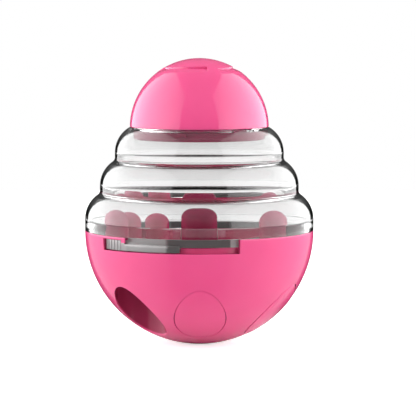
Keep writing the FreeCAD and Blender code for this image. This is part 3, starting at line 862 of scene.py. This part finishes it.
def satin_clear(name):
    """The same plastic in the lip and the latch tabs under the rim, polished outside, with a grey
    colour in place of most of its clarity. The grey is painted shade and sheen: dark across the
    front's middle, painted shade of the bowl's dark inside, and paler beyond 13 to 14 mm to either
    side, along each tab and towards the window's other end, a painted reflection of the softboxes.
    It is palest in the ribbed block. Distances run sideways from the middle of the front towards
    the block, which is at -X in front and at +X behind."""
    material, tree, shader, place = surface(name)
    spot = add(tree, "SeparateXYZ", None, Vector=place).outputs
    front_or_back = add(tree, "Math", {"operation": "SIGN"}, i0=spot["Y"]).outputs[0]
    side = product(tree, spot["X"], front_or_back)
    # painted shade and sheen: grey 0.13 across the middle, paler beyond 13 to 14 mm to each side, a
    # little paler again in the block
    painted_shade_sheen_and_block, block, end = (
        add(
            tree, "MapRange", None, Value=side,
            From_Min=start * MM, From_Max=stop * MM, To_Min=low, To_Max=high,
        ).outputs[0]
        for start, stop, low, high in (
            (13.5, 14.5, 0.13, 0.36), (30.5, 31.5, 0.0, 0.06), (-13.4, -12.8, 0.24, 0.0),
        )
    )
    for more in (block, end):
        painted_shade_sheen_and_block = add(tree, "Math", {"operation": "ADD"}, i0=painted_shade_sheen_and_block, i1=more).outputs[0]
    painted_shade_sheen_and_block = product(tree, painted_shade_sheen_and_block, mottled(tree, pattern(tree, place, 5), 0.95, 1.05))
    grey = add(tree, "CombineColor", None, Red=painted_shade_sheen_and_block, Green=painted_shade_sheen_and_block, Blue=painted_shade_sheen_and_block).outputs[0]
    tree.links.new(grey, shader.inputs["Base Color"])
    tree.links.new(relief(tree, (pattern(tree, place, 0.3), 0.5)), shader.inputs["Normal"])
    shader.inputs["Roughness"].default_value = 0.08
    shader.inputs["IOR"].default_value = 1.57
    shader.inputs["Coat Weight"].default_value = 1.0
    shader.inputs["Coat Roughness"].default_value = 0.03
    shader.inputs["Transmission Weight"].default_value = 0.3
    return material


def zinc_plated(name, first, second, rough):
    """Turned steel with a zinc finish: tint and polish vary over a few millimetres, which gives
    its reflections a cloudy look."""
    material, tree, shader, place = surface(name)
    tint = mottled(tree, pattern(tree, place, 3, 4.0), first, second)
    tree.links.new(tint, shader.inputs["Base Color"])
    polish = mottled(tree, pattern(tree, place, 2, 4.0), *rough)
    tree.links.new(polish, shader.inputs["Roughness"])
    tree.links.new(relief(tree, (pattern(tree, place, 0.5), 4)), shader.inputs["Normal"])
    shader.inputs["Metallic"].default_value = 1.0
    return material


def cell_foam(name):
    """Die-cut closed-cell foam: cells about 0.4 mm across, which give it a fine, matt, pitted
    skin."""
    material, tree, shader, place = surface(name)
    cells = pattern(tree, place, 0.4, cells=True)
    tree.links.new(mottled(tree, cells, "d8d5cf", "f2f0ec"), shader.inputs["Base Color"])
    tree.links.new(relief(tree, (cells, 60)), shader.inputs["Normal"])
    shader.inputs["Roughness"].default_value = 0.9
    return material


# The inside tint 9c2c50 is painted shade in the outlet tunnels, on the bowl's inner side and in the
# plugs' cups.
satin_pink = moulded_pink(
    "satin_pink_abs_painted_shade_inside", "e24e85", "e5548a", (0.1, 0.14), 0.35, 0.5, 5, inside="9c2c50",
)
glossy_pink = moulded_pink("polished_pink_abs", "e65088", "e9568d", (0.05, 0.08), 0.5, 0.5, 4)
inner_pink = moulded_pink("tray_pink_abs", "e44c80", "e85185", (0.16, 0.24), 0.35, 2, 8)
# painted shade: a darker copy of the pink for the centre post and the neck plug, which stand in the
# shell's shade
shaded_pink = moulded_pink("shaded_post_pink_abs", "b93b66", "be406b", (0.16, 0.24), 0.35, 2, 8)
clear_plastic = clear_moulding("clear_styrene")
satin_plastic = satin_clear("satin_clear_styrene_painted_shade_and_sheen")
weight_steel = zinc_plated("zinc_plated_weight", "8f949b", "b4b9bf", (0.25, 0.4))
screw_steel = zinc_plated("zinc_plated_screws", "a8adb4", "cfd3d8", (0.15, 0.3))
pad_foam = cell_foam("cell_foam_pad")

# Pieces in the place of CAD nodes
piece("dispenser_bowl", bowl_mesh(), "bowl", "base", satin_pink)
shell = piece(
    "three_bulge_shell", shell_mesh(), "clear_shell", "shell", clear_plastic,
)
give_latches(shell.data, satin_plastic)
piece("domed_cap", dome_mesh(), "cap_dome", "cap", glossy_pink)
piece("neck_plug", plug_mesh(), "cap_plug", "cap", shaded_pink)
piece("peg_tray", tray_mesh(), "treat_tray", "base", inner_pink)
piece("rounded_post", post_mesh(), "centre_post", "base", shaded_pink)
for outlet, (azimuth, proud) in CLOSED_OUTLETS.items():
    piece(
        "outlet_plug_" + outlet, stopper_mesh(azimuth, proud), "stopper_" + outlet,
        outlet + "_stopper", satin_pink,
    )

# CAD nodes that stay
for node_name, material in (
    ("weight_pad", pad_foam), ("counterweight", weight_steel), ("weight_cover", inner_pink),
    ("cover_screws", screw_steel), ("tray_screws", screw_steel),
):
    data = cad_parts[node_name].data
    data.materials.clear()
    data.materials.append(material)


# Studio
ONE_WALL = 2.5            # between the 2 faces of one clear wall and the 4 of two
SOFTBOX_LEVEL = 3.8
SOFTBOX_X = (1.0, 1.01)   # metres, as are the next two
SOFTBOX_Y = (-1.6, 1.7)
SOFTBOX_Z = (-0.3, 2.4)
SOFTBOX_TURN = 10         # degrees behind the side from which its light is strongest
BACKDROP = (0.82, 0.93)   # from no white to full white, as Y of the direction looked in
BACKDROP_MIDDLE = (0.985, 0.996)
ROOM_LEVEL = (0.012, 0.45)  # level with the object, and at the ceiling
CEILING_UP = 0.9          # Z of the direction from which the room is as light as its ceiling
FILL_LEVEL = 0.06
PAPER_RINGS = (0, 20, 60, 120, 250, 500, 900.0)
PAPER_BELOW = 0.02
PAPER_T = 2.0
PAPER_GLOW = 0.7          # its own light for the camera, under which it keeps a faint shadow
POLISH_FROM = (0.035, 0.06)  # metres from the middle of the paper
EYE = (0.0, -1.1, 0.1498)  # metres
AIM = (0.0038, 0.0, 0.0593)
LENS = 218.2              # millimetres, on a sensor 36 mm wide


def softbox(name, side):
    """Tall lit panel 1 m beside the object, on side -1 or 1. Its light falls off with the cosine
    of the angle from its strongest direction, as seen from the object. A view that has crossed
    more faces than one clear wall has doesn't show it."""
    (near, far), (front, back), (low, high) = SOFTBOX_X, SOFTBOX_Y, SOFTBOX_Z
    corners = [(near, front), (far, front), (far, back), (near, back)]
    mesh = prism([(side * x / MM, y / MM) for x, y in corners], low / MM, high / MM)
    material = bpy.data.materials.new(name + "_cloth")
    material.use_nodes = True
    tree = material.node_tree
    tree.nodes.clear()
    spot = add(tree, "TexCoord").outputs["Object"]
    way_there = add(tree, "VectorMath", {"operation": "NORMALIZE"}, i0=spot).outputs["Vector"]
    turn = math.radians(SOFTBOX_TURN)
    strongest = (side * math.cos(turn), math.sin(turn), 0.0)
    cosine = add(tree, "VectorMath", {"operation": "DOT_PRODUCT"}, i0=way_there, i1=strongest)
    faces_crossed = add(tree, "LightPath").outputs["Transmission Depth"]
    shown = add(tree, "Math", {"operation": "LESS_THAN"}, i0=faces_crossed, i1=ONE_WALL)
    level = product(tree, shown.outputs[0], SOFTBOX_LEVEL)
    strength = product(tree, cosine.outputs["Value"], level)
    glow = add(tree, "Emission", None, Color=WHITE, Strength=strength)
    add(tree, "OutputMaterial", None, Surface=glow.outputs[0])
    mesh.materials.append(material)
    item = bpy.data.objects.new(name, mesh)
    bpy.context.scene.collection.objects.link(item)
    item.visible_camera = False


def studio_room():
    """White for the camera, behind the object for views through both walls of clear pieces, and
    right behind it for glossy pieces. Elsewhere a dim room that is lighter towards its ceiling,
    so that clear pieces get dark edges, with a little fill for matt pieces."""
    world = bpy.data.worlds.new("studio")
    bpy.context.scene.world = world
    world.use_nodes = True
    sky = world.node_tree
    sky.nodes.clear()
    way = add(sky, "LightPath").outputs
    place = add(sky, "TexCoord").outputs["Generated"]
    looked = add(sky, "SeparateXYZ", None, Vector=place).outputs
    backdrop, backdrop_middle = (
        add(sky, "MapRange", None, Value=looked["Y"], From_Min=start, From_Max=end).outputs[0]
        for start, end in (BACKDROP, BACKDROP_MIDDLE)
    )
    unreflected, undiffused, both_walls = (
        add(sky, "Math", {"operation": test}, i0=way[depth], i1=limit).outputs[0]
        for test, depth, limit in (
            ("LESS_THAN", "Glossy Depth", 0.5),
            ("LESS_THAN", "Diffuse Depth", 0.5),
            ("GREATER_THAN", "Transmission Depth", ONE_WALL),
        )
    )
    seen_through = way["Is Transmission Ray"]
    through = product(sky, seen_through, backdrop, unreflected, undiffused, both_walls)
    mirrored = product(sky, way["Is Glossy Ray"], backdrop_middle, undiffused)
    white = through
    for more in (mirrored, way["Is Camera Ray"]):
        white = add(sky, "Math", {"operation": "MAXIMUM"}, i0=white, i1=more).outputs[0]
    ceiling = add(
        sky, "MapRange", None, Value=looked["Z"], From_Max=CEILING_UP,
        To_Min=ROOM_LEVEL[0], To_Max=ROOM_LEVEL[1],
    ).outputs["Result"]
    fill = product(sky, way["Is Diffuse Ray"], FILL_LEVEL)
    room = add(sky, "Math", {"operation": "ADD"}, i0=ceiling, i1=fill).outputs[0]
    dim = add(sky, "Background", None, Color=WHITE, Strength=room).outputs[0]
    bright = add(sky, "Background", None, Color=WHITE, Strength=1.0).outputs[0]
    mix = add(sky, "MixShader", None, i0=white, i1=dim, i2=bright)
    add(sky, "OutputWorld", None, Surface=mix.outputs[0])


def floor_disc():
    """Pale paper under the object: a disc that shows white to the camera, with a faint shadow
    where the object stands, and through clear pieces. Glossy pieces see a dim polish in it, more
    and more over the stretch POLISH_FROM and fully beyond it."""
    turn = np.radians(azimuths(3.0))
    radii = np.array(PAPER_RINGS)[:, None]
    x, y, z = radii * np.sin(turn), -radii * np.cos(turn), 0 * radii * turn - PAPER_BELOW
    points = np.stack([x, y, z], axis=2)
    mesh = skin(np.concatenate([points, points[::-1] - (0, 0, PAPER_T)]))
    material, tree, shader, place = surface("matt_paper")
    colour = mottled(tree, pattern(tree, place, 60), "e6e6e6", "eaeaea")
    tree.links.new(colour, shader.inputs["Base Color"])
    shader.inputs["Roughness"].default_value = 0.9
    paper = shader.outputs["BSDF"]
    way = add(tree, "LightPath").outputs
    camera, through = way["Is Camera Ray"], way["Is Transmission Ray"]
    seen_white = add(tree, "Math", {"operation": "MAXIMUM"}, i0=camera, i1=through).outputs[0]
    own_light = add(tree, "MapRange", None, Value=camera, To_Min=1.0, To_Max=PAPER_GLOW).outputs[0]
    glow = add(tree, "Emission", None, Color=WHITE, Strength=own_light).outputs[0]
    polish = add(tree, "BsdfGlossy", None, Color=(0.3, 0.3, 0.3, 1), Roughness=0.05).outputs[0]
    reach = add(tree, "VectorMath", {"operation": "LENGTH"}, i0=place).outputs["Value"]
    start, end = POLISH_FROM
    far = add(tree, "MapRange", None, Value=reach, From_Min=start, From_Max=end).outputs[0]
    mirrored = product(tree, way["Is Glossy Ray"], far)
    matt = add(tree, "MixShader", None, i0=mirrored, i1=paper, i2=polish).outputs[0]
    lit = add(tree, "AddShader", None, i0=paper, i1=glow).outputs[0]
    mixed = add(tree, "MixShader", None, i0=seen_white, i1=matt, i2=lit).outputs[0]
    tree.links.new(mixed, tree.nodes["Material Output"].inputs["Surface"])
    mesh.materials.append(material)
    item = bpy.data.objects.new("paper_floor", mesh)
    bpy.context.scene.collection.objects.link(item)


def camera_view():
    """Camera, where the photograph was taken from."""
    lens = bpy.data.cameras.new("view")
    lens.lens = LENS
    lens.sensor_width = 36.0
    lens.clip_start = 0.01
    eye = bpy.data.objects.new("view", lens)
    bpy.context.scene.collection.objects.link(eye)
    eye.location = EYE
    eye.rotation_euler = (Vector(AIM) - eye.location).to_track_quat("-Z", "Y").to_euler()
    bpy.context.scene.camera = eye


softbox("softbox_left", -1)
softbox("softbox_right", 1)
studio_room()
floor_disc()
camera_view()
bpy.context.scene.view_settings.view_transform = "Standard"

bpy.context.view_layer.update()
